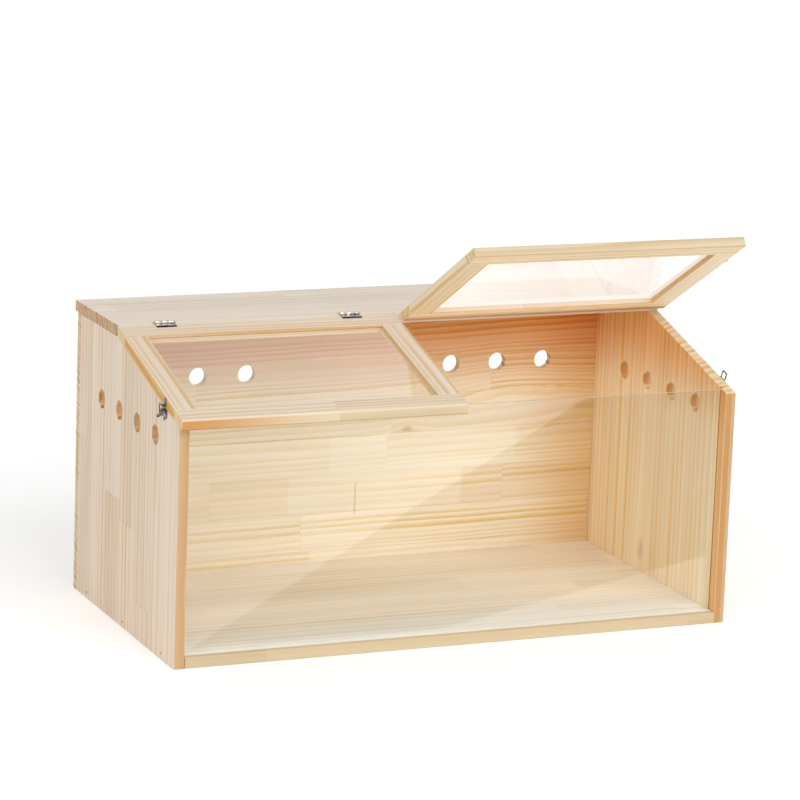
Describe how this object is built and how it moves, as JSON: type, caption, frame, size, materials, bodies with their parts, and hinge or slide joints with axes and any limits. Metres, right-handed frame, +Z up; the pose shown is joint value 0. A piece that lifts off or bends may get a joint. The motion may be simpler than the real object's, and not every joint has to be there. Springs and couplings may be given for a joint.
{
  "type": "small animal cage",
  "caption": "Pine pet cage with side and rear vent holes, a clear front sheet and two framed clear lids on a sloped roof, hinged to a rear board and latched at the sides.",
  "frame": {"origin": "middle of the floor board's underside, on the surface that the cage stands on", "axes": "+X towards the right side seen from the front, +Y towards the back panel, +Z up; the clear front faces -Y"},
  "size_m": [0.8226, 0.4405, 0.5354],
  "materials": {
    "pine_panel": "satin, pale knotty pine with a fine open grain",
    "pine_floor": "satin, pale pine",
    "pine_back": "satin, warm pine",
    "pine_lid": "satin, pale pine",
    "acrylic": "clear, polished",
    "hinge_chrome": "bright plated",
    "hinge_pin": "plain drawn steel",
    "latch_nickel": "bright plated, darker than the hinges",
    "screw_steel": "plain steel"
  },
  "bodies": {
    "cage": {"floor_panel": "pine_floor", "back_panel": "pine_back", "left_side_panel": "pine_panel", "right_side_panel": "pine_panel", "top_panel": "pine_panel", "front_window": "acrylic", "hinge_1_panel_leaf": "hinge_chrome", "hinge_1_pin": "hinge_pin", "hinge_1_panel_screw_1": "screw_steel", "hinge_1_panel_screw_2": "screw_steel", "hinge_2_panel_leaf": "hinge_chrome", "hinge_2_pin": "hinge_pin", "hinge_2_panel_screw_1": "screw_steel", "hinge_2_panel_screw_2": "screw_steel", "hinge_3_panel_leaf": "hinge_chrome", "hinge_3_pin": "hinge_pin", "hinge_3_panel_screw_1": "screw_steel", "hinge_3_panel_screw_2": "screw_steel", "hinge_4_panel_leaf": "hinge_chrome", "hinge_4_pin": "hinge_pin", "hinge_4_panel_screw_1": "screw_steel", "hinge_4_panel_screw_2": "screw_steel", "left_latch_base_plate": "latch_nickel", "left_latch_base_screw_1": "screw_steel", "left_latch_base_screw_2": "screw_steel", "left_latch_pivot_pin": "hinge_pin", "right_latch_base_plate": "latch_nickel", "right_latch_base_screw_1": "screw_steel", "right_latch_base_screw_2": "screw_steel", "right_latch_pivot_pin": "hinge_pin"},
    "left_lid": {"left_lid_rear_rail": "pine_lid", "left_lid_front_rail": "pine_lid", "left_lid_left_stile": "pine_lid", "left_lid_right_stile": "pine_lid", "left_lid_pane": "acrylic", "hinge_1_lid_leaf": "hinge_chrome", "hinge_1_lid_screw_1": "screw_steel", "hinge_1_lid_screw_2": "screw_steel", "hinge_2_lid_leaf": "hinge_chrome", "hinge_2_lid_screw_1": "screw_steel", "hinge_2_lid_screw_2": "screw_steel", "left_latch_keeper": "latch_nickel", "left_latch_keeper_screw": "screw_steel"},
    "right_lid": {"right_lid_rear_rail": "pine_lid", "right_lid_front_rail": "pine_lid", "right_lid_left_stile": "pine_lid", "right_lid_right_stile": "pine_lid", "right_lid_pane": "acrylic", "hinge_3_lid_leaf": "hinge_chrome", "hinge_3_lid_screw_1": "screw_steel", "hinge_3_lid_screw_2": "screw_steel", "hinge_4_lid_leaf": "hinge_chrome", "hinge_4_lid_screw_1": "screw_steel", "hinge_4_lid_screw_2": "screw_steel", "right_latch_keeper": "latch_nickel", "right_latch_keeper_screw": "screw_steel"},
    "left_latch_lever": {"left_latch_lever": "latch_nickel"},
    "left_latch_loop": {"left_latch_loop": "latch_nickel"},
    "right_latch_lever": {"right_latch_lever": "latch_nickel"},
    "right_latch_loop": {"right_latch_loop": "latch_nickel"}
  },
  "joints": [
    {"name": "left_lid_hinge", "type": "hinge", "parent": "cage", "child": "left_lid", "pos_m": [-0.203, 0.0405, 0.40645], "axis": [-1, 0, 0], "range_deg": [0, 195]},
    {"name": "right_lid_hinge", "type": "hinge", "parent": "cage", "child": "right_lid", "pos_m": [0.203, 0.0405, 0.40645], "axis": [-1, 0, 0], "range_deg": [-45, 150]},
    {"name": "left_latch_lever_pivot", "type": "hinge", "parent": "cage", "child": "left_latch_lever", "pos_m": [-0.4042, -0.14843, 0.33115], "axis": [0, 0.9635, 0.2679], "range_deg": [-34, 86]},
    {"name": "left_latch_loop_pivot", "type": "hinge", "parent": "left_latch_lever", "child": "left_latch_loop", "pos_m": [-0.40616, -0.14765, 0.32835], "axis": [0, 0.9635, 0.2679], "range_deg": [-150, 90]},
    {"name": "right_latch_lever_pivot", "type": "hinge", "parent": "cage", "child": "right_latch_lever", "pos_m": [0.4042, -0.14843, 0.33115], "axis": [0, -0.9635, -0.2679], "range_deg": [-34, 86]},
    {"name": "right_latch_loop_pivot", "type": "hinge", "parent": "right_latch_lever", "child": "right_latch_loop", "pos_m": [0.40616, -0.14765, 0.32835], "axis": [0, -0.9635, -0.2679], "range_deg": [-150, 90]}
  ],
  "couplings": [
    {"joint": "left_latch_loop_pivot", "follows": "left_latch_lever_pivot", "ratio": -1.2},
    {"joint": "right_latch_loop_pivot", "follows": "right_latch_lever_pivot", "ratio": -1.2}
  ]
}
